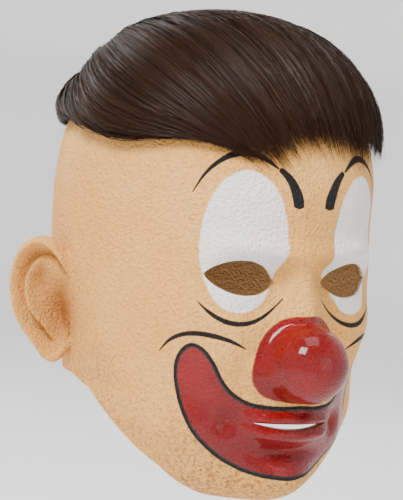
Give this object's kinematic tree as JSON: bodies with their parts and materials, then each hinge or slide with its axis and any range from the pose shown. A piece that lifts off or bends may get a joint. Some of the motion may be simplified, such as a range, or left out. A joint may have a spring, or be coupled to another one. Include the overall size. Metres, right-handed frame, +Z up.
{
  "type": "clown mask",
  "caption": "Full-head latex clown mask with a ball nose, painted grin, open eye holes, ears and a swept-over hairpiece.",
  "frame": {"origin": "highest point of the mask's hollow, where the wearer's crown meets the latex", "axes": "+Z up, the face looks along -Y, +X is the wearer's left"},
  "size_m": [0.2108, 0.2244, 0.2544],
  "materials": {
    "latex_mask": "matte pebbled flesh latex with painted clown make-up",
    "hairpiece": "dark brown synthetic hair fibre"
  },
  "bodies": {
    "root": {"latex_mask": "latex_mask", "hairpiece": "hairpiece"}
  },
  "joints": []
}
